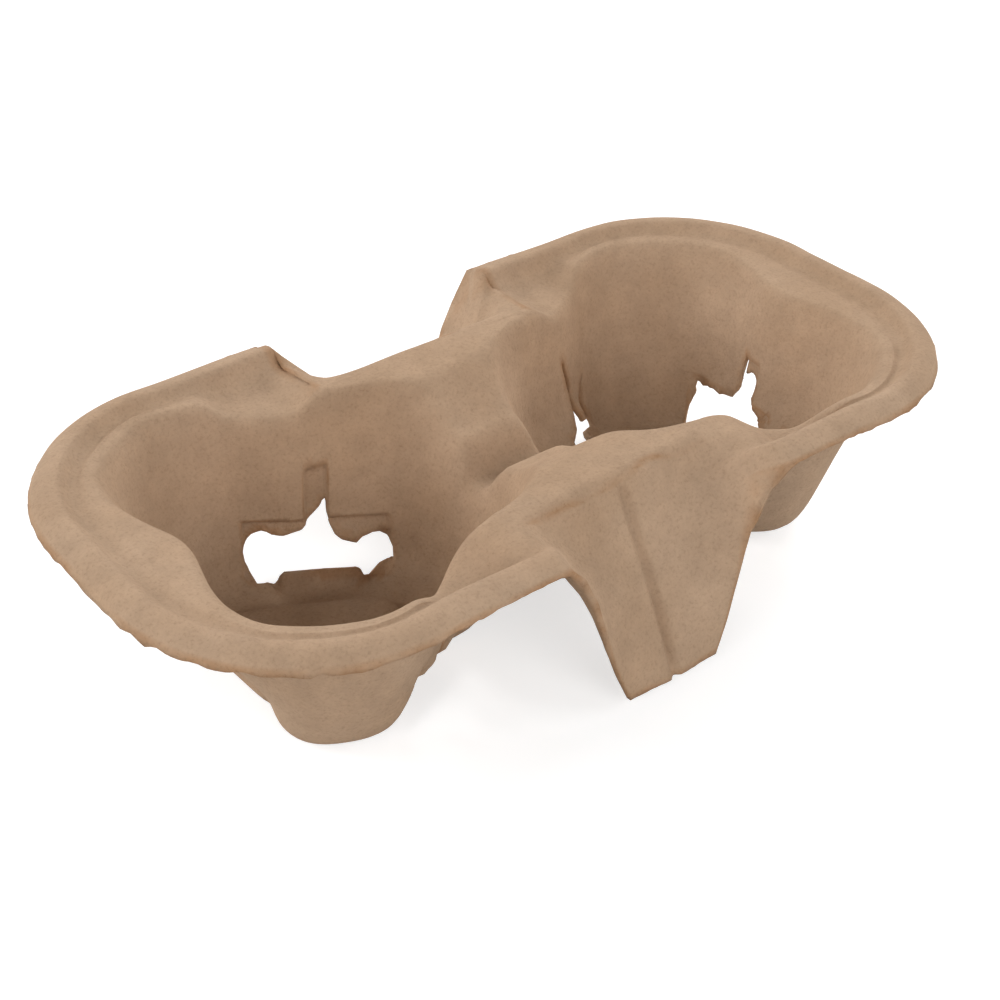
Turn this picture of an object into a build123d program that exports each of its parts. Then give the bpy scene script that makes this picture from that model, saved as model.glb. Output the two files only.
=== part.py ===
"""Two-cup carrier tray, moulded in one piece from wood pulp.

The tray is one sheet of even thickness.  Its upper face is described as a
block with hollows pressed into it; the same hollows, grown by the sheet's
thickness, describe its lower face, and the sheet is what lies between.
Lengths in millimetres, +Z up, feet on z = 0, the two cup wells lie along X.
"""
import math
import os

from build123d import *

# Driving dimensions
LENGTH = 210.0            # over the rim, along X
WIDTH = 105.0             # over the rim, along Y
HEIGHT = 45.0             # floor to the top of the rim bead
WALL = 2.0                # thickness of the pulp sheet

CORNER_R = 41.0           # plan radius of the rim's corners
LIP_DROP = 4.6            # the rim's outer lip ends this far below the bead top
BEAD_ROUND = 2.9          # round of the bead's outer shoulder
BEAD_W = 9.0              # width of the raised band round the rim
LEDGE_DROP = 2.0          # ledge and bridge crest, below the bead top

WELL_X = 52.0             # distance of each well's centre from the middle
LOBE_R = 26.9             # inside radius over an outer foot, at floor level
LOBE_DRAFT = 0.38         # growth of that radius per mm of height
BRIDGE_R = 33.6           # the same, for the foot beside the bridge
BRIDGE_DRAFT = 0.31
FLAT_R = 26.8             # inside radius at the three pressed-in sides
FLAT_DRAFT = 0.125
FLAT_HALF_ANGLE = 47.0    # half angle of one pressed-in side, degrees
FOOT_ROUND = 6.0          # inside round between wall and floor
ROLL_R = 1.5              # how far the wall rolls out into the ledge

SHELF_DROP = 5.8          # low shelf beside the long rim, below the bead top
SHELF_Y = 44.2            # the shelf reaches out to this |y|
SHELF_IN_Y = 20.0         # ... from inside the well
SHELF_X0 = 31.0           # ... and from this |x|
SHELF_X1 = 55.0           # ... to this one
SHELF_ROUND = 7.0         # plan rounds of its corners

PAD_R = 12.8              # straight edges of the raised pad on the floor
PAD_H = 3.0               # height of that pad
TONGUE_R = 21.5           # outer face of the upright tongue at each opening
TONGUE_W = 21.0
TONGUE_H = 7.2            # its top, above the ground

ARM_W = 31.0              # opening: width of the cross arm
ARM_TOP = 18.0            # opening: height of the arm's top edge
STEM_W = 5.3              # opening: width of the upright stem
STEM_TOP = 27.5           # opening: top of the stem
WEB_FROM = 22.5           # above this height a thin web still closes the stem
WEB_T = 0.8               # thickness of that web

NOTCH_X = 30.0            # the rim band stops here on both sides of the bridge
CREST_Y = 31.5            # fold line where the leg panels turn down
LEG_TOP_Y = 50.5          # |y| of a leg panel's outer corners, at crest height
LEG_FOOT_X = 12.3         # half width of a leg panel at its foot
LEG_FOOT_Y = 53.6         # |y| of its foot
LEG_FOOT_Z = 2.5          # the leg ends just above the floor
LEG_BOW = 1.9             # how far a panel's middle line bows out
LEG_TURN = 18.0           # how sharply it turns out to its sides at the crest
GROOVE_W = 3.6            # stiffening groove down the middle of each leg
GROOVE_D = 1.8

SADDLE_HALF = (19.5, 11.4, 5.8, 2.9)     # |y| of the steps in the bridge
SADDLE_DROP = (2.2, 10.2, 11.9, 19.8)    # ... and their depths below the bead

SECTION_POINTS = 24       # points round one section of a well
LEG_SHARES = (0.6, 0.85, 0.95, 1.0)      # points across half a leg panel
LEG_LEVELS = (0.35, 0.6, 0.8)            # its sections, between foot and crest
LEG_LEAN = 1.15           # thickness of a leaning panel, measured level
FAR = 200.0


def well_radius(theta, z):
    """Inside radius of a well at an angle (0 faces the bridge) and a height.

    Feet lie at 0, 120 and 240 degrees, pressed-in sides at 60, 180 and 300.
    """
    off_side = (theta - 60.0) % 120.0
    share = min(off_side, 120.0 - off_side) / FLAT_HALF_ANGLE
    bulge = 0.5 - 0.5 * math.cos(math.pi * min(share, 1.0))
    lobe = LOBE_R + LOBE_DRAFT * z
    if min(theta, 360.0 - theta) < 60.0:
        lobe = BRIDGE_R + BRIDGE_DRAFT * z
    flat = FLAT_R + FLAT_DRAFT * z
    return flat + (lobe - flat) * bulge


def well_wire(z, grow):
    """Closed smooth outline of a well at height z, moved outwards by grow."""
    points = []
    for i in range(SECTION_POINTS):
        theta = i * 360.0 / SECTION_POINTS
        r = well_radius(theta, z) + grow
        points.append((r * math.cos(math.radians(theta)),
                       r * math.sin(math.radians(theta)), z))
    return Wire([Spline(*points, periodic=True).edge()])


def well(skin):
    """Hollow of one well about the Z axis, grown by skin."""
    low = WALL - skin
    turn = FOOT_ROUND + skin
    top = HEIGHT - LEDGE_DROP
    heights = [(low + turn * (1 - math.cos(a)), turn * (math.sin(a) - 1))
               for a in (0.0, 0.6, math.pi / 2)]
    heights += [(0.5 * HEIGHT, 0.0), (top - 3.0, 0.0), (top + 0.3, ROLL_R),
                (HEIGHT + 1.5, 2 * ROLL_R)]
    return Solid.make_loft([well_wire(z, grow + skin) for z, grow in heights])


def pad(skin):
    """Raised pad on a well's floor, its straight edges facing the openings."""
    def outline(radius, z):
        tri = RegularPolygon(radius, 3, major_radius=False)
        tri = fillet(tri.vertices(), 0.45 * radius)
        return Pos(0, 0, z) * tri
    rise = WALL + PAD_H - skin
    return loft([outline(PAD_R + 1.8 - skin, -1.0), outline(PAD_R - skin, rise)])


def to_openings(piece):
    """Copies of a piece built facing +X, turned to the three openings."""
    return [Rot(0, 0, a) * piece for a in (60, 180, 300)]


def block(x0, x1, y0, y1, z0, z1):
    """Box between six planes."""
    box = Box(x1 - x0, y1 - y0, z1 - z0)
    return Pos((x0 + x1) / 2, (y0 + y1) / 2, (z0 + z1) / 2) * box


def rim_outline(inset):
    """Rim outline in plan, moved inwards by inset."""
    return RectangleRounded(LENGTH - 2 * inset, WIDTH - 2 * inset, CORNER_R - inset)


def shelf(skin):
    """Low shelf between one pressed-in side and the long rim, one quarter."""
    def outline(grow, z):
        size_x, size_y = SHELF_X1 - SHELF_X0 + 2 * grow, SHELF_Y - SHELF_IN_Y + 2 * grow
        plan = RectangleRounded(size_x, size_y, SHELF_ROUND)
        return Pos((SHELF_X0 + SHELF_X1) / 2, (SHELF_Y + SHELF_IN_Y) / 2, z) * plan
    low = HEIGHT - SHELF_DROP - skin
    return loft([outline(skin, low), outline(skin + 2.5, HEIGHT + 2)])


def saddle(skin):
    """Stepped hollow across the bridge, as a prism along X."""
    half = [(y, HEIGHT - d) for y, d in zip(SADDLE_HALF, SADDLE_DROP)]
    half = [(half[0][0] + 2.0, HEIGHT + 4)] + half
    line = half + [(-y, z) for y, z in reversed(half)]
    face = make_face(Polyline(*line, close=True))
    if skin:
        face = offset(face, skin)
    return extrude(Plane.YZ * face, amount=WELL_X / 2, both=True)


def leg(skin, reach=0.0):
    """Solid behind the folded leg faces on the -Y side, shrunk by skin.

    In plan a panel's face is a flat V at the foot.  Further up the middle
    stays flatter and the sides turn out more sharply, to the ends of the rim
    band, where the leg runs one thickness in.  Its sides are moved out and
    its foot down by reach.
    """
    top = HEIGHT - LEDGE_DROP
    back = LEG_LEAN * skin

    def outline(share):
        up = max(share, 0.0)
        x = LEG_FOOT_X + share * (NOTCH_X + WALL - LEG_FOOT_X)
        y = LEG_FOOT_Y + share * (LEG_TOP_Y - LEG_FOOT_Y)
        mid = LEG_FOOT_Y + share * (CREST_Y - LEG_FOOT_Y) + 4 * LEG_BOW * up * (1 - up)
        turn = LEG_TURN ** up ** 1.6
        pts = [(0, mid - GROOVE_D - back), (GROOVE_W / 2, mid - back)]
        for p in LEG_SHARES:
            slope = turn * (y - mid) / x * p ** (turn - 1)
            aside = back / math.hypot(1, slope)
            pts.append((p * x + slope * aside, mid + (y - mid) * p ** turn - aside))
        end = pts[-1][0] + reach
        if reach:
            pts.append((end, pts[-1][1]))
        left = [(-u, v) for u, v in reversed(pts[1:])]
        front = [(u, -v) for u, v in left + pts]
        z = LEG_FOOT_Z + share * (top - LEG_FOOT_Z)
        return make_face(Polyline(*front, (end, -20), (-end, -20), close=True)).moved(
            Location((0, 0, z)))

    drop = reach / (top - LEG_FOOT_Z)
    lid = 1 - skin / (top - LEG_FOOT_Z)
    return loft([outline(-drop), *[outline(t) for t in LEG_LEVELS], outline(lid)], ruled=True)


def opening():
    """Inverted T through the wall on the +X side of a well."""
    wall_r = FLAT_R + FLAT_DRAFT * ARM_TOP
    arms = block(TONGUE_R, wall_r + 8, -ARM_W / 2, ARM_W / 2, -1, ARM_TOP)
    stem = block(wall_r - 6, wall_r + 8, -STEM_W / 2, STEM_W / 2, ARM_TOP - 1, WEB_FROM)
    inner = wall_r - 6
    low = FLAT_R + FLAT_DRAFT * WEB_FROM + WALL - WEB_T
    high = FLAT_R + FLAT_DRAFT * STEM_TOP + WALL - WEB_T
    recess = Polyline((inner, WEB_FROM - 1), (low, WEB_FROM - 1), (high, STEM_TOP),
                      (inner, STEM_TOP), close=True)
    recess = extrude(Plane.XZ * make_face(recess), amount=STEM_W / 2, both=True)
    return arms + stem + recess


def hollows(skin):
    """Everything pressed into the left half of the block, grown by skin."""
    pocket = mirror(shelf(skin), Plane.YZ)
    return [Pos(-WELL_X, 0, 0) * (well(skin) - pad(skin)),
            pocket, mirror(pocket, Plane.XZ), saddle(skin)]


def left(piece):
    """The part of a piece at x <= 0."""
    return piece & block(-FAR, 0, -FAR, FAR, -FAR, FAR)


def both_sides(piece):
    """A piece of the -Y side and its mirror image."""
    return [piece, mirror(piece, Plane.XZ)]


# Left half of the block under the upper face
crest = HEIGHT - LEDGE_DROP
outer = extrude(rim_outline(0), HEIGHT)
outer = left(fillet(outer.edges().group_by(Axis.Z)[-1], BEAD_ROUND))
cup, *others = hollows(0)
outer -= cup
outer -= Pos(0, 0, crest) * extrude(rim_outline(BEAD_W), LEDGE_DROP + 1)
for gap in both_sides(block(-NOTCH_X, NOTCH_X, -WIDTH, -CREST_Y, -1, HEIGHT + 1)):
    outer -= gap
for post in both_sides(left(leg(0))):
    outer += post - cup
for hollow in others:
    outer -= hollow
tongue = block(TONGUE_R - WALL, TONGUE_R, -TONGUE_W / 2, TONGUE_W / 2, 0.5, TONGUE_H)
for piece in to_openings(tongue):
    outer += Pos(-WELL_X, 0, 0) * piece

# Left half of the room under the lower face
room = block(-FAR, 0, -FAR, FAR, -5, HEIGHT - LIP_DROP)
room += left(Pos(0, 0, 1) * extrude(rim_outline(WALL), crest - WALL - 1))
bead = extrude(rim_outline(WALL), HEIGHT - WALL)
bead -= extrude(rim_outline(BEAD_W - WALL), HEIGHT)
room += bead & block(-FAR, -NOTCH_X - WALL, -FAR, FAR, 0, HEIGHT)
for panel in both_sides(leg(0) - leg(WALL, 6.0)):
    room -= left(panel)
for hollow in hollows(WALL):
    room -= hollow

# The sheet between them, its openings, and the other half
half = outer - room
for piece in to_openings(opening()):
    half -= Pos(-WELL_X, 0, 0) * piece
tray = half + mirror(half, Plane.YZ)
tray.label = "cup_carrier"

os.makedirs("parts", exist_ok=True)
print("solids", len(tray.solids()), "volume", round(tray.volume), tray.bounding_box())
export_step(tray, "parts/cup_carrier.step")
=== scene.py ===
"""Two-cup carrier tray of moulded wood pulp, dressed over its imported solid.

The tray is one thin sheet: its upper face is worked out in numpy from two
parameters (turn round a well, travel from its middle outwards), put into one
mesh, and given the sheet's thickness by Solidify.  Lengths in the functions
are millimetres, as in the solid; meshes are written in metres.
"""

import bpy
import math
import numpy as np
from mathutils import Matrix


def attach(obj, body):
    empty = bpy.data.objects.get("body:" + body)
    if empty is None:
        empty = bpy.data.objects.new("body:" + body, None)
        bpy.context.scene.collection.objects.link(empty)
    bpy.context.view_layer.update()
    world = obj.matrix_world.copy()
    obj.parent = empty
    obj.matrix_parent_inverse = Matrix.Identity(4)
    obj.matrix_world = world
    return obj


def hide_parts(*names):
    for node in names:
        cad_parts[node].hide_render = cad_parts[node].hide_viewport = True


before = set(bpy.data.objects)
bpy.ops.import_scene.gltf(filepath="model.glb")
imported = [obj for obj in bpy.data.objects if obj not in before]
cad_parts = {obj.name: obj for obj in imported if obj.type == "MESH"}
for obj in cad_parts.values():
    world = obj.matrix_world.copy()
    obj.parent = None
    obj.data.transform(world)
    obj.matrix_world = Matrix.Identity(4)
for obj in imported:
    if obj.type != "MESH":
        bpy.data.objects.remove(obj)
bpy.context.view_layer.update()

MM = 0.001

# The tray, in millimetres
LENGTH, WIDTH, HEIGHT = 208.4, 105.0, 45.0
SHEET = 2.0                 # thickness of the pulp
CORNER_R = 41.0             # plan radius of the rim's corners
WELL_X = 52.0               # well centre from the middle
LEDGE = 43.0                # level of the ledge and of the bridge's crest
SHELF, FRONT_SHELF = 39.3, 36.3       # low shelves beside the long rims, back and front
NOTCH_X = 30.0              # the rim band stops here beside the bridge
NOTCH_SHIFT = WELL_X - NOTCH_X        # the notch line, from the well's centre
CREST_Y = 31.5              # fold line where a leg panel turns down
TIE = 55.1                  # the ray from the well's centre to the crest's end, degrees
PAD_R, PAD_TOP = 12.8, 5.0  # raised pad in the middle of a well's floor
CHANNEL = 2.0               # the channel round the pad
WALL_FOOT = 8.0             # the wall's curve begins here
FLAT_LEAN = 8.0             # the flats beside the bridge lean away from it, degrees
FLAT_HALF = 47.0            # half angle of a pressed-in flat, degrees
TONGUE_R, TONGUE_HALF, TONGUE_TOP = (21.5, 18.2), 9.6, 8.6    # radii at the sides and at the ends
TONGUE_SHIFT = 2.7          # towards the bridge, and to the back at the ends

# Inside radii of a well: at the ground, and growth for each millimetre of height
BRIDGE_LOBE, FOOT_LOBE = (33.6, 0.31), (29.6, 0.32)
SIDE_FLAT, END_FLAT = (26.8, 0.125), (24.4, 0.13)
# Hollows beside a front foot: angle, spread, depth, height where it fades, where it ends
HOLLOWS = ((154.0, 15.0, 9.0, 8, 20), (86.0, 11.0, 3.0, 10, 24))

# Pressed T in a flat: its arm and stem, set back and left as a thin web.  Places
# on a flat are (b, z): b from the flat's middle towards the bridge, z the height.
ARM_HALF, STEM_HALF, ARM_SLANT = 16.7, 2.8, 0.05
SIDE_T = (2.6, 14.9, 27.2)            # flats beside the bridge: middle b, arm top, stem top
END_T = (3.0, 14.2, 24.0)             # end flats; their b runs to the back
RECESS = {"wide": 1.9, "split": 0.0, "notched": 0.6, "plain": 0.0}     # how far webs lie back
TEAR_INSET = 0.45           # the torn holes are this much smaller all round than their outlines
TORN = {                              # outlines of the torn holes in the webs
    "wide": ((-8.4, 2.7), (-12.6, 2.7), (-13.3, 4.2), (-14.0, 5.6), (-14.3, 8.1), (-13.6, 10.2),
             (-12.6, 11.7), (-10.8, 12.6), (-9.3, 13.2), (-7.4, 12.5), (-5.0, 12.2),
             (-3.0, 12.5), (-1.0, 12.8), (-0.2, 13.4), (0.1, 14.5), (1.8, 15.8), (3.3, 17.0),
             (3.8, 18.3), (4.6, 18.9), (5.3, 18.2), (5.3, 15.4), (5.9, 13.2), (6.9, 11.5),
             (8.2, 10.8), (9.6, 10.5), (11.1, 10.2), (12.3, 11.0), (14.6, 11.3), (17.0, 10.4),
             (18.9, 8.4), (19.6, 6.3), (19.4, 4.2), (18.0, 2.8), (13.0, 2.8)),
    "split": ((-15.0, 3.2), (-14.9, 5.5), (-13.9, 8.5), (-12.9, 12.9), (-10.6, 11.7), (-8.6, 11.2),
              (-7.0, 10.5), (-5.2, 10.2), (-5.6, 11.8), (-5.8, 14.3), (-4.6, 14.0),
              (-3.2, 12.4), (-0.1, 10.7), (4.7, 9.8), (5.2, 7.6), (4.8, 5.2)),
    "notched": ((13.0, 2.2), (17.4, 2.2), (18.6, 4.4), (19.0, 7.8), (18.2, 10.9), (16.9, 12.2),
                (15.1, 12.7), (12.5, 13.1), (10.6, 12.8), (8.6, 13.2), (7.0, 13.5),
                (6.4, 15.5), (5.6, 18.6), (4.5, 20.5), (3.1, 21.5), (1.7, 21.3), (0.5, 19.8),
                (0.6, 17.1), (0.8, 15.0), (-0.8, 13.7), (-4.4, 13.1), (-8.0, 12.1),
                (-11.0, 10.6), (-12.9, 8.0), (-12.8, 5.2), (-11.4, 3.6)),
    "plain": ((-9.0, 3.2), (-9.6, 8.0), (-6.0, 11.6), (-1.2, 12.4), (0.9, 15.5), (4.6, 16.2),
              (6.2, 12.6), (13.0, 10.8), (16.4, 7.6), (15.6, 3.4)),
}
SLITS = {                             # slits along a web's edges: both ends, width
    "wide": (),
    "plain": (),
    "split": (((-5.0, 11.0), (-5.9, 16.5), 1.5), ((-5.9, 16.5), (-2.1, 26.2), 1.7),
              ((-12.6, 11.4), (-14.6, 17.0), 1.4)),
    "notched": (((18.3, 10.0), (18.4, 14.4), 0.9), ((5.5, 18.8), (5.2, 24.2), 1.1)),
}
OPENINGS = (                          # well to the left or right, turn from the bridge, tear
    (-1, 60, "wide"), (-1, 180, "notched"), (-1, 300, "split"),
    (1, 60, "split"), (1, 180, "notched"), (1, 300, "plain"))

# Unevenness: height and wavelength of the lumps, and a seed for each set of them
RAGS = ((0.32, 6.0, 11), (0.22, 2.8, 12))           # along the torn edges
SWAYS = ((0.16, 38.0, 21), (0.05, 11.0, 31))        # of the whole sheet
CRACK_Y, CRACK_DEPTH = 33.6, 0.3      # fine crack in the fold above each leg
SKEW = 0.024                          # slant of the tray's ends

# The camera, as the photograph was taken
VIEW_TURN, VIEW_RISE, VIEW_ROLL = -41.46, 34.31, -2.31
VIEW_DISTANCE, VIEW_AIM, LENS = 0.4585, (0.01587, 0.02115, 0.0), 69.62

# The light: low broad lamps all round (turn from the front, watts), over a pale floor
LAMPS = ((-130.0, 14.0), (-70.0, 7.2), (-10.0, 9.6), (50.0, 7.0), (110.0, 12.8), (170.0, 8.0))
LAMP_RISE, LAMP_AWAY, LAMP_SIDE = 29.0, 1.5, 0.8
SURROUND, FLOOR_PALE = 0.02, 0.7
FLOOR_HALF, FLOOR_WHITE, FLOOR_GLOW = 0.75, 0.6, 0.62


def ease(x, start, end):
    """Smooth step: 0 before start, 1 after end, 3t^2 - 2t^3 between."""
    t = np.clip((x - start) / (end - start), 0.0, 1.0)
    return t * t * (3.0 - 2.0 * t)


def lumps(points, wave, seed, waves=16):
    """Lumpy noise of about -1..1: plane sine waves in random directions, added."""
    rng = np.random.default_rng(seed)
    ways = rng.normal(size=(waves, 3))
    ways /= np.linalg.norm(ways, axis=1, keepdims=True)
    ways *= (2 * np.pi / (wave * rng.uniform(0.7, 1.6, (waves, 1))))
    phase = rng.uniform(0, 2 * np.pi, waves)
    return np.sin(points @ ways.T + phase).sum(-1) / math.sqrt(waves)


def carried(lines, per_span):
    """Sheet carried across control lines by a uniform cubic B-spline.

    lines has the shape (lines, points, 3); each span between two lines gets
    its own number of rows.  The first and last lines lie on the sheet.
    """
    first, last = 2 * lines[:1] - lines[1:2], 2 * lines[-1:] - lines[-2:-1]
    lines = np.concatenate([first, lines, last])
    t = np.concatenate([i + np.arange(n) / n for i, n in enumerate(per_span)]
                       + [[len(per_span)]])
    k = np.minimum(t.astype(int), len(per_span) - 1)
    u = (t - k)[:, None, None]
    return ((1 - u) ** 3 * lines[k] + (3 * u**3 - 6 * u**2 + 4) * lines[k + 1]
            + (-3 * u**3 + 3 * u**2 + 3 * u + 1) * lines[k + 2] + u**3 * lines[k + 3]) / 6


def well_radius(a, z, front=0.0):
    """Inside radius of a well, angle a from the bridge in degrees, height z.

    A flat radius plus a cosine bulge that reaches the foot lobes; both grow
    with height, and the flats by the bridge lean away from it as they rise.
    front is 1 on the front side, whose feet are slimmer by two bell-shaped
    hollows, and 0 at the back.
    """
    lean = 60.0 + FLAT_LEAN * z / HEIGHT
    to_flat = np.where(a < 120.0, np.abs(a - lean), 180.0 - a)
    half = np.where(a < lean, FLAT_HALF + 6.0, FLAT_HALF)
    half = half + np.where(a > 120.0, 12.0 - 12.0 * ease(z, 26, 42), 0.0)
    bulge = 0.5 - 0.5 * np.cos(np.pi * np.minimum(to_flat / half, 1.0))
    lobe = np.where(a < lean, BRIDGE_LOBE[0] + BRIDGE_LOBE[1] * z, FOOT_LOBE[0] + FOOT_LOBE[1] * z)
    flat = np.where(a < 120.0, SIDE_FLAT[0] + SIDE_FLAT[1] * z, END_FLAT[0] + END_FLAT[1] * z)
    slim = sum(depth * np.exp(-((a - middle) / spread) ** 2) * (1 - ease(z, fades, ends))
               for middle, spread, depth, fades, ends in HOLLOWS)
    return flat + (lobe - flat) * bulge - front * slim


def shelf_share(a, side):
    """1 on the low shelf beside the bridge, 0 on the ledge, smooth between."""
    front = ease(a, 52, 78) * (1 - ease(a, 84, 102))
    return np.where(side < 0, front, ease(a, 50, 65) * (1 - ease(a, 82, 93)))


def saddle(y):
    """Height of the bridge over |y|: plateau, step, shelf and trough, rounded.

    Straight runs between the steps, averaged over a band 2.4 mm wide.
    """
    runs = (0, 2.9, 5.8, 11.4, 19.5, 21.5, 60)
    tops = (25.2, 25.2, 33.1, 34.8, 42.4, LEDGE, LEDGE)
    return sum(np.interp(np.abs(y) + d, runs, tops) for d in (-1.2, -0.6, 0, 0.6, 1.2)) / 5


def turns(start, end, count):
    """Angles from start to end, closer together at the upright edges of the T's."""
    fine = np.linspace(start, end, 4001)
    middles, ends = (-54.6, 54.6, 174.0, 186.0), (-34, -5.4, 5.4, 34)
    edges = [middle + off for middle in middles for off in ends]
    near = np.min([np.abs((fine - e + 180) % 360 - 180) for e in edges], axis=0)
    density = 1.0 + 1.2 * np.exp(-(near / 3.0) ** 2)
    travel = np.concatenate([[0], np.cumsum((density[1:] + density[:-1]) / 2)])
    return np.interp(np.linspace(0, travel[-1], count + 1), travel, fine)


def line_of(x, y, z):
    """Control line from its coordinates about the well's centre."""
    return np.stack(np.broadcast_arrays(x, y, z), -1).astype(float)


def well_lines(theta):
    """Control lines of the well, from the middle of its floor to its brim."""
    side = np.where(np.sin(np.radians(theta)) < 0, -1.0, 1.0)
    a = np.abs((theta + 180.0) % 360.0 - 180.0)
    c, s = np.cos(np.radians(a)), np.sin(np.radians(a))

    def ring(r, z):
        return line_of(r * c, r * s * side, z)

    # pad: its outline is a soft maximum over the three straight edges
    facing = [np.maximum(np.cos(np.radians(a - d)), 0) ** 3 for d in (60, 180, 300)]
    pad = PAD_R / np.sum(facing, axis=0) ** (1 / 3)

    # a straight tongue stands up in front of each opening, cut by the ray
    off = np.where(a < 120, 60 - a, (180 - a) * side)
    tilt = np.tan(np.radians(np.clip(off, -50, 50)))
    across = np.abs(21.0 * tilt - TONGUE_SHIFT)
    tongue = 1 - ease(across, TONGUE_HALF - 0.8, TONGUE_HALF + 2.0)
    away = TONGUE_R[0] + (TONGUE_R[1] - TONGUE_R[0]) * ease(a, 115, 125)
    along = away * np.sqrt(1 + tilt**2)
    front = np.where(side < 0, 1.0, 0.0)
    foot = well_radius(a, WALL_FOOT, front)

    def raised(beside, on_tongue):
        return beside + (on_tongue - beside) * tongue

    # the wall stops at the ledge, at the low shelf, or where it meets the bridge
    low = shelf_share(a, side)
    shelf = np.where(side < 0, FRONT_SHELF, SHELF)
    rise = np.linspace(20, LEDGE, 231)[:, None]
    over = rise - saddle(well_radius(a, rise) * s)
    bridge_top = rise[np.argmax(over > -1e-6, axis=0), 0]
    top = np.where(a < 50, bridge_top, LEDGE + 0.1 - (LEDGE - shelf) * low)
    top = np.minimum(top, LEDGE + 0.1)

    # pad, channel, the turn up to the tongue or the wall, then the wall
    lines = [ring(0 * a, PAD_TOP), ring(4.5, PAD_TOP), ring(pad - 1.3, PAD_TOP),
             ring(pad, PAD_TOP - 0.1), ring(pad + 1.2, CHANNEL + 0.4), ring(pad + 2.6, CHANNEL)]
    channel_end = np.maximum(foot - 6.0, pad + 3.4)
    tongue_foot = np.maximum(along - 2.8, pad + 2.8)
    lines += [ring(raised(channel_end, tongue_foot), raised(CHANNEL, CHANNEL + 0.1)),
              ring(raised(np.maximum(foot - 2.2, pad + 4.2), along - 0.9),
                   raised(CHANNEL + 1.0, CHANNEL + 0.6)),
              ring(raised(foot + 0.1, along), raised(WALL_FOOT, TONGUE_TOP))]
    for share in (0.16, 0.36, 0.57, 0.78, 1.0):
        z = WALL_FOOT + (top - 2.4 - WALL_FOOT) * share
        lines.append(ring(well_radius(a, z, front), z))
    edge = well_radius(a, top)
    lines.append(ring(edge + 0.5, top + 0.05))

    # brim: a little way out on the ledge, along X on the bridge
    lean = np.radians(a * ease(a, 15, 55))
    reach = np.where(a < 80, 3.0, np.clip(0.22 * (lip(a)[0] - edge), 1.2, 3.0))
    bx, by = edge * c + reach * np.cos(lean), edge * s + reach * np.sin(lean)
    crest_end = line_of(NOTCH_SHIFT, CREST_Y, LEDGE)
    brim = line_of(bx, by, np.where(a < 50, saddle(by), top + 0.15))
    tie = np.exp(-((a - TIE) / 2.5) ** 2)[:, None]
    brim += (crest_end - brim) * tie
    brim[:, 1] *= side
    lines.append(brim)
    return np.array(lines), a, side


def lip(a):
    """Where a ray from a well meets the rim: distance, place and outward way.

    The rim is a rounded rectangle; the ray meets its side, its corner arc or
    its end.  Near the notch the rays swing round so that the first one ends at
    the band's corner.
    """
    corner = math.degrees(math.atan2(WIDTH / 2, NOTCH_SHIFT))
    phi = np.radians(a + (corner - TIE) * (1 - ease(a, TIE, 86)))
    c, s = np.cos(phi), np.sin(phi)
    ax, ay = -(LENGTH / 2 - WELL_X - CORNER_R), WIDTH / 2 - CORNER_R
    along = c * ax + s * ay
    arc = along + np.sqrt(np.maximum(along**2 - (ax**2 + ay**2 - CORNER_R**2), 0))
    side_r = (WIDTH / 2) / np.maximum(s, 1e-6)
    end_r = (LENGTH / 2 - WELL_X) / np.maximum(-c, 1e-6)
    on_side, on_end = side_r * c >= ax, end_r * s <= ay
    r = np.where(on_side, side_r, np.where(on_end & (c < 0), end_r, arc))
    x, y = r * c, r * s
    nx = np.where(on_side, 0, np.where(on_end & (c < 0), -1, (x - ax) / CORNER_R))
    ny = np.where(on_side, 1, np.where(on_end & (c < 0), 0, (y - ay) / CORNER_R))
    return r, x, y, nx, ny


def rim_lines(brim, a, side):
    """Control lines from a well's brim over ledge, groove and bead to the lip."""
    x, y, nx, ny = lip(a)[1:]
    depth = (x - brim[:, 0]) * nx + (y - brim[:, 1] * side) * ny
    low = shelf_share(a, side)

    # each line of the rim's section: its inset from the lip, its height, and the most
    # of the ledge's depth that its inset may take; then its heights beside the shelves
    section = [(11.4, LEDGE + 0.45, 0.94), (9.2, LEDGE - 0.35, 0.86), (7.9, 42.9, 0.77),
               (6.7, 45.0, 0.64), (5.7, 45.5, 0.52), (4.0, 45.2, 0.36), (2.4, 44.6, 0.21),
               (1.1, 43.8, 0.10), (0.3, 42.9, 0.03), (0.0, 41.6, 0.0)]
    shelves = ((39.9, 40.5, 41.6, 45.0, 45.6, 45.2, 44.6, 43.8, 42.9, 41.6),
               (37.0, 38.2, 40.4, 45.0, 45.6, 45.2, 44.6, 43.8, 42.9, 41.6))
    lift = (0,) * 7 + (0.2, 0.6, 1.4)      # the lip is thinner beside the bridge
    lines = []
    for (inset, z, share), back, front, up in zip(section, *shelves, lift):
        inward = -np.logaddexp(-inset * 2.5, -depth * share * 2.5) / 2.5     # a soft minimum
        z_low = np.where(side < 0, front, back)
        level = z + (z_low - z) * low + up * (1 - ease(a, 72, 108))
        lines.append(line_of(x - inward * nx, (y - inward * ny) * side, level))
    start = [brim + (lines[0] - brim) * f for f in (0, 0.34, 0.7)]
    return np.array(start + lines)


def bridge_lines(brim):
    """Control lines from a well's brim along X to the middle of the tray."""
    lines = []
    for share in (0, 0.12, 0.5, 0.84, 1.0):
        line = brim.copy()
        line[:, 0] += (WELL_X - brim[:, 0]) * share
        line[:, 2] += (saddle(brim[:, 1]) - brim[:, 2]) * min(3 * share, 1)
        lines.append(line)
    return np.array(lines)


def leg_side(z):
    """|x| and |y| of a leg panel's free side edge at height z."""
    levels = (2.5, 10, 20, 30, 38, 42)
    return (np.interp(z, levels, (12.3, 15.6, 18.9, 21.6, 25.9, 30.0)),
            np.interp(z, levels, (53.6, 52.8, 51.9, 51.5, 51.4, 52.4)))


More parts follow.
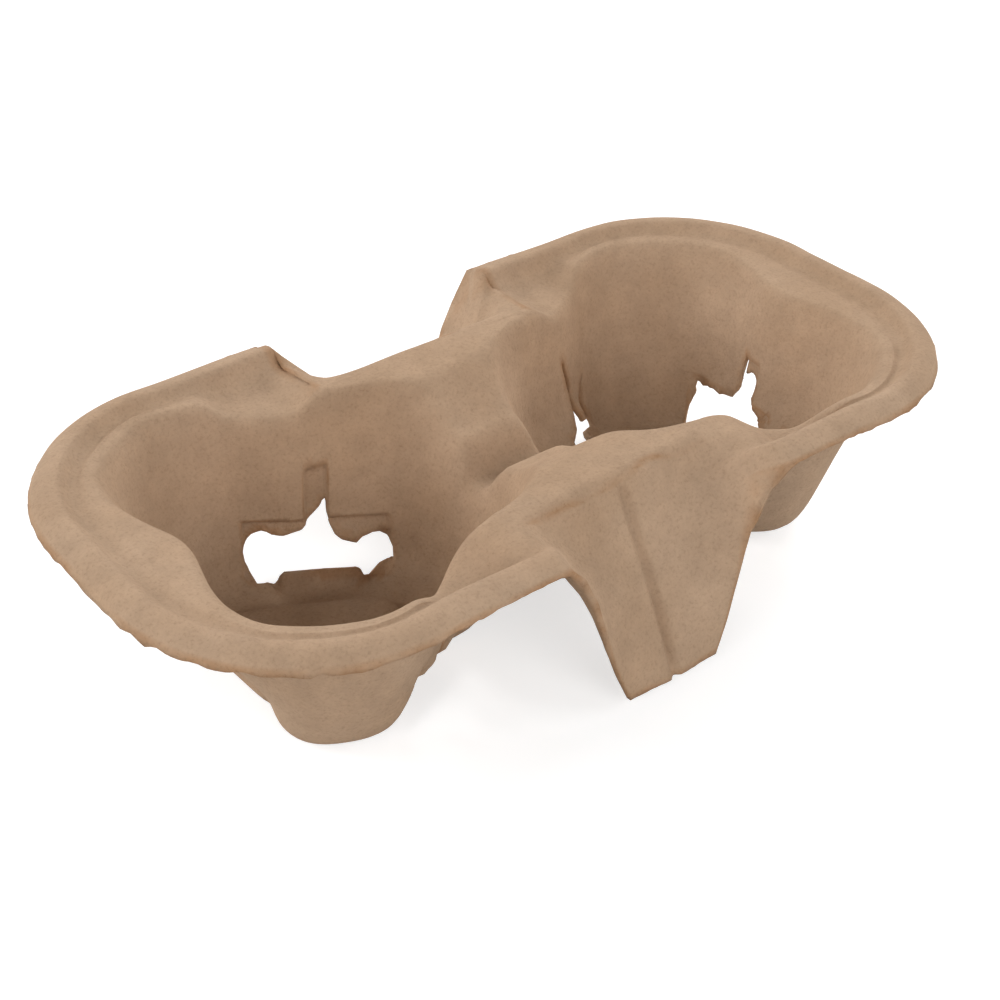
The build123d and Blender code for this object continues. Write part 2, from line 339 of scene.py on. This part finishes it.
def resampled(curves, shares):
    """Points at given shares of each curve's own length; curves (n, m, 3)."""
    step = np.linalg.norm(np.diff(curves, axis=0), axis=2)
    travel = np.concatenate([np.zeros((1, curves.shape[1])), np.cumsum(step, axis=0)])
    travel /= travel[-1:]
    return np.stack([np.stack([np.interp(shares[:, j], travel[:, j], curves[:, j, i])
                               for i in range(3)], -1)
                     for j in range(curves.shape[1])], 1)


def leg_sheet(crest, dip):
    """Leg panel of the -Y side, left half, between crest, dip and groove.

    crest holds the points of the fold line from the crest's end to x = 0,
    dip those of the notch line from the crest's end to the lip corner.
    Columns run down the panel; each is a B-spline through control points whose
    place across the panel is a share p, 0 at the groove and 1 at the side.
    Across the panel, depth grows with a power of p: high at the top, where the
    sheet falls away from crest and notch alike, about 1 below.
    """
    p = np.clip(-crest[::-1, 0] / NOTCH_X, 0, 1)       # from x = 0 outwards
    top = crest[::-1]
    lines = [line_of(-NOTCH_X * p, -CREST_Y, LEDGE)]
    for z, mid, power in ((42.3, 33.3, 16), (40.6, 34.3, 16), (38.0, 35.6, 14), (34.0, 38.0, 9),
                          (29.0, 40.9, 4.5), (23.0, 44.3, 2.2), (16.0, 48.1, 1.3),
                          (9.0, 51.6, 0.95), (3.0, 54.5, 0.9)):
        x, y = leg_side(np.array(z))
        lines.append(line_of(-x * p, -(mid + (y - mid) * p**power), z))
    dense = carried(np.array(lines), (16,) * (len(lines) - 1))
    # last column: along the dip to the lip corner, then down the free edge
    x, y = leg_side(np.linspace(42, 2.8, 60))
    drop = np.linspace(dip[-1, 2], 2.8, 60)
    x += (-dip[-1, 0] - x[0]) * np.linspace(1, 0, 60) ** 2
    y += (-dip[-1, 1] - y[0]) * np.linspace(1, 0, 60) ** 2
    edge = np.concatenate([dip, line_of(-x, -y, drop)[1:]])
    rows, first = 60, len(dip) - 1
    share = np.arange(rows + 1) / rows
    run = np.concatenate([[0], np.cumsum(np.linalg.norm(np.diff(edge, axis=0), axis=1))])
    run /= run[-1]
    side_share = np.concatenate([run[:first + 1],
                                 np.linspace(run[first], 1, rows - first + 1)[1:]])
    shares = share[:, None] + (side_share - share)[:, None] * p[None, :] ** 4
    sheet = resampled(dense, shares)
    side = np.stack([np.interp(side_share, run, edge[:, i]) for i in range(3)], -1)
    side[:first + 1] = dip
    sheet += (side - sheet[:, -1])[:, None] * (p**9)[None, :, None]
    # groove down the middle, a soft V that fades out at both ends
    z = sheet[..., 2]
    depth = 2.1 * (1 - ease(np.abs(sheet[..., 0]), 0.0, 1.7)) * (1 - ease(z, 38.5, 41.8))
    sheet[..., 1] += depth * (0.45 + 0.55 * ease(z, 1.0, 9.0))
    fade = np.exp(-np.arange(rows + 1) / 1.5)[:, None, None]
    sheet += (top - sheet[0])[None] * fade
    sheet[:, 0, 0] = 0.0
    return sheet


def joined(grids):
    """Points and four-cornered faces of several grids; a true flag turns a grid's faces over."""
    points, faces, count = [], [], 0
    for grid, turned in grids:
        rows, cols = grid.shape[:2]
        index = count + np.arange(rows * cols).reshape(rows, cols)
        quads = np.stack([index[:-1, :-1], index[1:, :-1], index[1:, 1:], index[:-1, 1:]], -1)
        quads = quads.reshape(-1, 4)
        points.append(grid.reshape(-1, 3))
        faces.append(quads[:, ::-1] if turned else quads)
        count += rows * cols
    return np.concatenate(points), np.concatenate(faces)


def welded(points, faces):
    """Points that lie at one place, to a thousandth, made one point."""
    _, first, back = np.unique(np.round(points, 3), axis=0,
                               return_index=True, return_inverse=True)
    return points[first], back.ravel()[faces]


def half_tray():
    """Grids of the left half's upper face: well and rim, bridge, and two leg panels."""
    inner = (2, 2, 1, 2, 1, 3, 2, 4, 7, 8, 6, 3, 3, 2, 3)
    to_lip = (2, 3, 2, 2, 1, 2, 2, 2, 2, 2, 2, 1)
    to_left = np.array([-WELL_X, 0, 0])
    lines, a, side = well_lines(turns(TIE, 360 - TIE, 178))
    end_well = carried(lines, inner) + to_left
    rim = carried(rim_lines(lines[-1], a, side), to_lip)
    rim[:, [0, -1], 0] = NOTCH_SHIFT           # the band's ends lie on the notch line
    rim += to_left
    lines, *_ = well_lines(turns(-TIE, TIE, 78))
    bridge_well = carried(lines, inner) + to_left
    bridge = carried(bridge_lines(lines[-1]), (5, 5, 6, 6)) + to_left
    leg = leg_sheet(bridge[:, 0], rim[:, -1])
    return ((end_well, False), (rim, False), (bridge_well, False), (bridge, False),
            (leg, True), (leg * (1, -1, 1), False))


def outline_gap(spots, corners):
    """Signed distance from spots (n, 2) to a closed outline; inside < 0."""
    start = np.array(corners, float)
    step = np.roll(start, -1, axis=0) - start
    rel = spots[:, None] - start
    along = np.clip((rel * step).sum(-1) / (step**2).sum(-1), 0, 1)
    far = np.linalg.norm(rel - along[..., None] * step, axis=-1).min(axis=1)
    low, high = start[:, 1], start[:, 1] + step[:, 1]
    y = spots[:, 1:]
    crosses = (low <= y) != (high <= y)
    at = start[:, 0] + (y - low) * step[:, 0] / np.where(step[:, 1] == 0, 1, step[:, 1])
    inside = (crosses & (spots[:, :1] < at)).sum(axis=1) % 2 == 1
    return np.where(inside, -far, far)


def slit_gap(spots, start, stop, width):
    """Distance from spots to a straight slit that narrows, less half its width."""
    step = np.subtract(stop, start)
    along = np.clip((spots - start) @ step / (step @ step), 0, 1)
    far = np.linalg.norm(spots - start - along[:, None] * step, axis=1)
    return far - width / 2 * (1 - 0.35 * along)


def t_gap(spots, middle, arm_top, stem_top):
    """Signed distance to the inverted T pressed in a flat; inside < 0."""
    b, z = np.abs(spots[:, 0] - middle), spots[:, 1]
    arm_top = arm_top - ARM_SLANT * (spots[:, 0] - middle)
    return np.minimum(np.maximum(b - ARM_HALF, z - arm_top),
                      np.maximum(b - STEM_HALF, z - stem_top))


def on_flats(points):
    """Each flat: the points near it, their (b, z) and radius, its outward way, turn and tear."""
    for well, turn, kind in OPENINGS:
        t = math.radians(turn)
        out = np.array([-well * math.cos(t), math.sin(t)])
        b_way = np.array([0.0, 1.0]) if turn == 180 else np.array([-out[1], out[0]])
        if turn != 180 and b_way[0] * well > 0:
            b_way = -b_way
        rel = points[:, :2] - (well * WELL_X, 0)
        r, b = rel @ out, rel @ b_way
        near = np.flatnonzero((r > 14) & (r < 38) & (np.abs(b) < 26) & (points[:, 2] < 34))
        yield near, np.stack([b[near], points[near, 2]], 1), r[near], out, turn, kind


def torn_gap(spots, kind):
    """Signed distance to the torn hole and the slits of one web."""
    slits = [slit_gap(spots, *slit) for slit in SLITS[kind]]
    return np.min([outline_gap(spots, TORN[kind]) + TEAR_INSET] + slits, axis=0)


def drawn_to(points, faces, gap):
    """Points drawn along the mesh's edges onto the zero line of a field.

    Where the field changes sign along an edge, the nearer end moves to the
    crossing; a point with several crossings takes the shortest move.
    """
    pairs = np.sort(np.concatenate([faces[:, [i, (i + 1) % 4]] for i in range(4)]), axis=1)
    pairs = np.unique(pairs, axis=0)
    a, b = pairs[gap[pairs[:, 0]] * gap[pairs[:, 1]] < 0].T
    share = gap[a] / (gap[a] - gap[b])
    a, b, share = (np.where(share > 0.5, b, a), np.where(share > 0.5, a, b),
                   np.minimum(share, 1 - share))
    move = (points[b] - points[a]) * share[:, None]
    order = np.argsort(-np.linalg.norm(move, axis=1))
    a, move = a[order], move[order]
    points, gap = points.copy(), gap.copy()
    points[a] = points[a] + move
    gap[a] = 0
    return points, gap


def opened(points, faces):
    """Points and faces once the webs are torn open along smooth lines.

    Each tear ends at the tongue's top edge, at its own distance from the
    well's middle.  Faces inside go; a face cut through its corners keeps the
    three-cornered half outside.
    """
    gap = np.full(len(points), 9.0)
    for near, spots, r, _, turn, kind in on_flats(points):
        behind = TONGUE_R[turn == 180] - r
        gap[near] = np.minimum(gap[near], np.maximum(torn_gap(spots, kind), behind))
    points, gap = drawn_to(points, faces, gap)
    g = gap[faces]
    whole = g.min(axis=1) >= 0
    cut = faces[~whole & (g.max(axis=1) > 0)]
    k = gap[cut].argmax(axis=1)
    row = np.arange(len(cut))
    halves = np.stack([cut[row, (k + 3) % 4], cut[row, k], cut[row, (k + 1) % 4],
                       cut[row, (k + 1) % 4]], 1)
    return points, np.concatenate([faces[whole & (g.max(axis=1) > 0)], halves])


def pressed(points, faces):
    """Webs set back from the wall, with crisp edges along the T.

    Gives the points, 1 on the webs and 0 elsewhere, and which points lie on
    an edge of a T; these points later get painted shade.
    """
    gap = np.full(len(points), 9.0)
    for near, spots, r, _, turn, kind in on_flats(points):
        if RECESS[kind] > 0:
            deep = t_gap(spots, *(END_T if turn == 180 else SIDE_T))
            gap[near] = np.minimum(gap[near], np.maximum(deep, TONGUE_R[0] + 1.5 - r))
    points, gap = drawn_to(points, faces, gap)
    web = ease(-gap, 0.0, 0.4)
    for near, _, _, out, _, kind in on_flats(points):
        points[near, :2] += (RECESS[kind] * web[near])[:, None] * out
    return points, web, gap == 0


def compact(points, faces):
    """Points that faces still use, and the faces renumbered to them."""
    used, back = np.unique(faces, return_inverse=True)
    return points[used], back.reshape(faces.shape)


def relaxed(points, faces, rounds, amount):
    """Each point drawn towards the mean of its neighbours; open edges stay.

    Gives the points, and which of them lie on an open edge.
    """
    pairs = np.concatenate([faces[:, [i, (i + 1) % 4]] for i in range(4)])
    pairs = pairs[pairs[:, 0] != pairs[:, 1]]
    ordered = np.sort(pairs, axis=1)
    _, back, count = np.unique(ordered, axis=0, return_inverse=True, return_counts=True)
    free = np.ones(len(points), bool)
    free[pairs[count[back.ravel()] == 1].ravel()] = False
    both = np.concatenate([pairs, pairs[:, ::-1]])
    total = np.zeros(len(points))
    np.add.at(total, both[:, 0], 1)
    for _ in range(rounds):
        mean = np.zeros_like(points)
        np.add.at(mean, both[:, 0], points[both[:, 1]])
        mean /= np.maximum(total, 1)[:, None]
        points = points + (mean - points) * (amount * free)[:, None]
    return points, ~free


def upper_face():
    """Whole upper face before the cut-outs: the left half, its mirror image, welded."""
    points, faces = welded(*joined(half_tray()))
    points, faces = welded(np.concatenate([points, points * (-1, 1, 1)]),
                           np.concatenate([faces, faces[:, ::-1] + len(points)]))
    corners = 1 + (np.diff(np.sort(faces, axis=1), axis=1) > 0).sum(axis=1)
    return points, faces[corners >= 3]


def ragged(points, border):
    """Heights added at the outer edges, which wander most away from the bridge."""
    off_middle = np.hypot(points[:, 0] / LENGTH, points[:, 1] / WIDTH)
    outer = border & ((off_middle > 0.4) | (points[:, 2] > 40) | (np.abs(points[:, 0]) < NOTCH_X))
    rag = sum(height * lumps(points, wave, seed) for height, wave, seed in RAGS)
    rag *= 0.35 + 0.65 * ease(np.abs(points[:, 0]), 36, 60)
    return np.where(outer, rag, 0)


def beside_edges(faces, border):
    """1 at the open edges, and 0.6 on the next row of points."""
    edge, near = border.astype(float), np.zeros(len(border))
    np.maximum.at(near, faces.ravel(), np.repeat(edge[faces].max(axis=1), 4))
    return np.maximum(edge, 0.6 * near)


def fold_crack(points):
    """1 along the fine crack in the fold above each leg, falling off as a bell curve."""
    x, y, z = points[:, 0], np.abs(points[:, 1]), points[:, 2]
    off = y - CRACK_Y - 0.5 * lumps(points * (1, 0, 0), 14.0, 13)
    return np.exp(-(off / 0.5) ** 2) * (1 - ease(np.abs(x + 2), 20, 27)) * (z > 41)


def build_tray():
    """Points and faces of the whole tray's upper face, its thickness, and how torn it is, with
    painted shade along the crack and the T's edges added in.
    """
    points, faces = upper_face()
    points, _ = relaxed(points, faces, 2, 0.4)
    points, faces = compact(*opened(points, faces))
    points, border = relaxed(points, faces, 1, 0.25)
    points, web, t_edge_shade = pressed(points, faces)
    # torn edges wander a little, and the sheet thins out towards them and in the webs
    points[:, 2] += ragged(points, border)
    torn = beside_edges(faces, border)
    thick = 1 - np.maximum(0.55 * web, 0.42 * torn)
    # a fine crack runs along the fold above each leg; the crack and the T's edges get painted
    # shade, carried with the torn edges' darker colour
    crack = fold_crack(points)
    points[:, 2] -= CRACK_DEPTH * crack
    torn = np.maximum.reduce([torn, 0.8 * t_edge_shade, 0.9 * crack])
    # the sheet is never quite even, and its ends are a little askew
    points[:, 0] += SKEW * points[:, 1] * ease(np.abs(points[:, 0]), 50, 95)
    points = points + sum(
        height * np.stack([lumps(points, wave, seed + i) for i in range(3)], -1)
        for height, wave, seed in SWAYS)
    points[:, 2] = np.maximum(points[:, 2], SHEET + 0.05)
    return points, faces, thick, torn


def mesh_object(name, points, faces, finish):
    """Mesh object at the origin, smooth, its points given in millimetres.

    A face keeps each of its corners once, so it has three or four.
    """
    once = np.ones(faces.shape, bool)
    for i in (1, 2, 3):
        once[:, i] = (faces[:, i:i + 1] != faces[:, :i]).all(axis=1)
    corners, sizes = faces[once], once.sum(axis=1)
    mesh = bpy.data.meshes.new(name)
    mesh.vertices.add(len(points))
    mesh.vertices.foreach_set("co", (points * MM).ravel())
    mesh.loops.add(len(corners))
    mesh.loops.foreach_set("vertex_index", corners)
    mesh.polygons.add(len(faces))
    mesh.polygons.foreach_set("loop_start", np.cumsum(sizes) - sizes)
    mesh.update(calc_edges=True)
    mesh.validate()
    mesh.shade_smooth()
    mesh.materials.append(finish)
    piece = bpy.data.objects.new(name, mesh)
    bpy.context.scene.collection.objects.link(piece)
    return piece


def pulp_finish():
    """Dry moulded pulp: warm grey-brown, mottled, with fibres and a fine nap, darker at torn edges
    and with painted shade along the fold cracks and the T's edges.
    """
    finish = bpy.data.materials.new("moulded_pulp")
    finish.use_nodes = True
    nodes, links = finish.node_tree.nodes, finish.node_tree.links
    nodes.clear()
    out = nodes.new("ShaderNodeOutputMaterial")
    shader = nodes.new("ShaderNodeBsdfPrincipled")
    shader.inputs["Roughness"].default_value = 0.95
    shader.inputs["Specular IOR Level"].default_value = 0.15
    place = nodes.new("ShaderNodeTexCoord")

    def noise(scale, detail, rough=0.55, stretch=(1, 1, 1)):
        spread = nodes.new("ShaderNodeMapping")
        spread.inputs["Scale"].default_value = stretch
        links.new(place.outputs["Object"], spread.inputs["Vector"])
        node = nodes.new("ShaderNodeTexNoise")
        node.inputs["Scale"].default_value = scale
        node.inputs["Detail"].default_value = detail
        node.inputs["Roughness"].default_value = rough
        links.new(spread.outputs["Vector"], node.inputs["Vector"])
        return node.outputs["Fac"]

    def ramp(value, *stops):
        node = nodes.new("ShaderNodeValToRGB")
        while len(node.color_ramp.elements) < len(stops):
            node.color_ramp.elements.new(0.5)
        for element, (at, colour) in zip(node.color_ramp.elements, stops):
            element.position, element.color = at, (*colour, 1)
        links.new(value, node.inputs["Fac"])
        return node.outputs["Color"]

    def mixed(kind, amount, base, other):
        node = nodes.new("ShaderNodeMix")
        node.data_type, node.blend_type = "RGBA", kind
        node.inputs["Factor"].default_value = amount
        links.new(base, node.inputs["A"])
        links.new(other, node.inputs["B"])
        return node.outputs["Result"]

    base = ramp(noise(28, 3), (0.35, (0.394, 0.265, 0.170)), (0.65, (0.432, 0.300, 0.201)))
    cloud = ramp(noise(160, 5, 0.7), (0.30, (0.90, 0.90, 0.90)), (0.70, (1.08, 1.08, 1.08)))
    speck = ramp(noise(1500, 3, 0.6), (0.30, (0.86, 0.84, 0.82)), (0.46, (1.0, 1.0, 1.0)),
                 (0.75, (1.06, 1.06, 1.06)))
    fleck = ramp(noise(700, 2, 0.5), (0.20, (0.70, 0.66, 0.62)), (0.26, (1, 1, 1)))
    colour = mixed("MULTIPLY", 1.0, base, cloud)
    colour = mixed("MULTIPLY", 1.0, colour, speck)
    colour = mixed("MULTIPLY", 0.5, colour, fleck)
    # torn edges show warmer, darker fibre; the same darkening is painted shade along the fold crack
    # and the T's edges
    edge = nodes.new("ShaderNodeAttribute")
    edge.attribute_name = "torn_edge_and_painted_shade"
    edge_and_painted_shade = nodes.new("ShaderNodeMath")
    edge_and_painted_shade.operation, edge_and_painted_shade.use_clamp = "MULTIPLY", True
    links.new(edge.outputs["Fac"], edge_and_painted_shade.inputs[0])
    links.new(ramp(noise(110, 3), (0.35, (0.10, 0.10, 0.10)), (0.62, (0.85, 0.85, 0.85))),
              edge_and_painted_shade.inputs[1])
    warm = nodes.new("ShaderNodeMix")
    warm.data_type, warm.blend_type = "RGBA", "MULTIPLY"
    warm.inputs["B"].default_value = (0.80, 0.62, 0.45, 1)
    links.new(edge_and_painted_shade.outputs[0], warm.inputs["Factor"])
    links.new(colour, warm.inputs["A"])
    links.new(warm.outputs["Result"], shader.inputs["Base Color"])

    nap = nodes.new("ShaderNodeBump")
    nap.inputs["Strength"].default_value = 0.35
    nap.inputs["Distance"].default_value = 0.0003
    links.new(noise(1400, 4, 0.6), nap.inputs["Height"])
    soft = nodes.new("ShaderNodeBump")
    soft.inputs["Strength"].default_value = 0.5
    soft.inputs["Distance"].default_value = 0.0007
    links.new(noise(330, 4, 0.6), soft.inputs["Height"])
    links.new(nap.outputs["Normal"], soft.inputs["Normal"])
    links.new(soft.outputs["Normal"], shader.inputs["Normal"])
    links.new(shader.outputs["BSDF"], out.inputs["Surface"])
    return finish


def seen_directly(nodes, links):
    """1 where the camera sees a surface directly or in a mirror, else 0."""
    path, either = nodes.new("ShaderNodeLightPath"), nodes.new("ShaderNodeMath")
    either.operation = "MAXIMUM"
    links.new(path.outputs["Is Camera Ray"], either.inputs[0])
    links.new(path.outputs["Is Glossy Ray"], either.inputs[1])
    return either.outputs[0]


def white_floor():
    """Plain pale floor that shows white to the camera but keeps the shadow."""
    finish = bpy.data.materials.new("pale_floor")
    finish.use_nodes = True
    nodes, links = finish.node_tree.nodes, finish.node_tree.links
    nodes.clear()
    pale, white, glow = (nodes.new("ShaderNodeBsdfDiffuse"), nodes.new("ShaderNodeBsdfDiffuse"),
                         nodes.new("ShaderNodeEmission"))
    pale.inputs["Color"].default_value = (FLOOR_PALE, FLOOR_PALE, FLOOR_PALE, 1)
    white.inputs["Color"].default_value = (FLOOR_WHITE, FLOOR_WHITE, FLOOR_WHITE, 1)
    glow.inputs["Strength"].default_value = FLOOR_GLOW
    both, mix = nodes.new("ShaderNodeAddShader"), nodes.new("ShaderNodeMixShader")
    out = nodes.new("ShaderNodeOutputMaterial")
    links.new(white.outputs[0], both.inputs[0])
    links.new(glow.outputs[0], both.inputs[1])
    links.new(seen_directly(nodes, links), mix.inputs["Fac"])
    links.new(pale.outputs[0], mix.inputs[1])
    links.new(both.outputs[0], mix.inputs[2])
    links.new(mix.outputs[0], out.inputs["Surface"])
    mesh = bpy.data.meshes.new("floor")
    corners = [(x * FLOOR_HALF, y * FLOOR_HALF, 0) for x, y in ((-1, -1), (1, -1), (1, 1), (-1, 1))]
    mesh.from_pydata(corners, [], [(0, 1, 2, 3)])
    mesh.materials.append(finish)
    floor = bpy.data.objects.new("floor", mesh)
    bpy.context.scene.collection.objects.link(floor)


def aimed(aim, turn, rise, away, roll=0.0):
    """Place of what looks at a point: turn from the front, rise and roll in degrees.

    Its columns are the ways to its right, up and back, and where it stands.
    """
    turn, rise, roll = (math.radians(v) for v in (turn, rise, roll))
    back = np.array([math.sin(turn) * math.cos(rise), -math.cos(turn) * math.cos(rise),
                     math.sin(rise)])
    right = np.array([math.cos(turn), math.sin(turn), 0.0])
    up = np.cross(back, right)
    across = right * math.cos(roll) - up * math.sin(roll)
    above = right * math.sin(roll) + up * math.cos(roll)
    place = np.array(aim) + back * away
    return Matrix(np.block([[np.column_stack([across, above, back]), place[:, None]],
                            [np.zeros((1, 3)), 1]]).tolist())


def set_camera():
    """Camera at the photograph's angle, from turn, rise, roll and distance."""
    data = bpy.data.cameras.new("camera")
    data.lens, data.sensor_width = LENS, 36.0
    camera = bpy.data.objects.new("camera", data)
    camera.matrix_world = aimed(VIEW_AIM, VIEW_TURN, VIEW_RISE, VIEW_DISTANCE, VIEW_ROLL)
    bpy.context.scene.collection.objects.link(camera)
    bpy.context.scene.camera = camera


def set_light():
    """Soft studio light: broad lamps stand low all round, brightest at both sides."""
    world = bpy.data.worlds.new("surround")
    bpy.context.scene.world = world
    world.use_nodes = True
    nodes, links = world.node_tree.nodes, world.node_tree.links
    back = nodes["Background"]
    back.inputs["Color"].default_value = (1, 1, 1, 1)
    back.inputs["Strength"].default_value = SURROUND
    white = nodes.new("ShaderNodeBackground")
    white.inputs["Color"].default_value = (1, 1, 1, 1)
    white.inputs["Strength"].default_value = 1.0
    mix = nodes.new("ShaderNodeMixShader")
    links.new(seen_directly(nodes, links), mix.inputs["Fac"])
    links.new(back.outputs[0], mix.inputs[1])
    links.new(white.outputs[0], mix.inputs[2])
    links.new(mix.outputs[0], nodes["World Output"].inputs["Surface"])

    for turn, watts in LAMPS:
        data = bpy.data.lights.new("broad_lamp", "AREA")
        data.shape, data.size, data.energy = "SQUARE", LAMP_SIDE, watts
        lamp = bpy.data.objects.new("broad_lamp", data)
        lamp.matrix_world = aimed((0, 0, 0), turn, LAMP_RISE, LAMP_AWAY)
        bpy.context.scene.collection.objects.link(lamp)


def dress_tray():
    """The tray: its upper face, given the pulp's thickness downwards by Solidify."""
    points, faces, thick, torn = build_tray()
    tray = mesh_object("pulp_tray", points, faces, pulp_finish())
    # the torn edges' darker fibre, and painted shade along the fold crack and the T's edges
    tray.data.attributes.new("torn_edge_and_painted_shade", "FLOAT", "POINT").data.foreach_set("value", torn)
    share = tray.vertex_groups.new(name="thickness")
    thick = np.round(thick, 1)
    for level in np.unique(thick):
        share.add(np.flatnonzero(thick == level).tolist(), float(level), "REPLACE")
    wall = tray.modifiers.new("sheet", "SOLIDIFY")
    wall.thickness, wall.offset, wall.use_rim = SHEET * MM, -1.0, True
    wall.vertex_group = "thickness"
    return tray


set_camera()
set_light()
white_floor()
tray = dress_tray()
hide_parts("cup_carrier")
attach(tray, "root")

bpy.context.scene.view_settings.view_transform = "Standard"
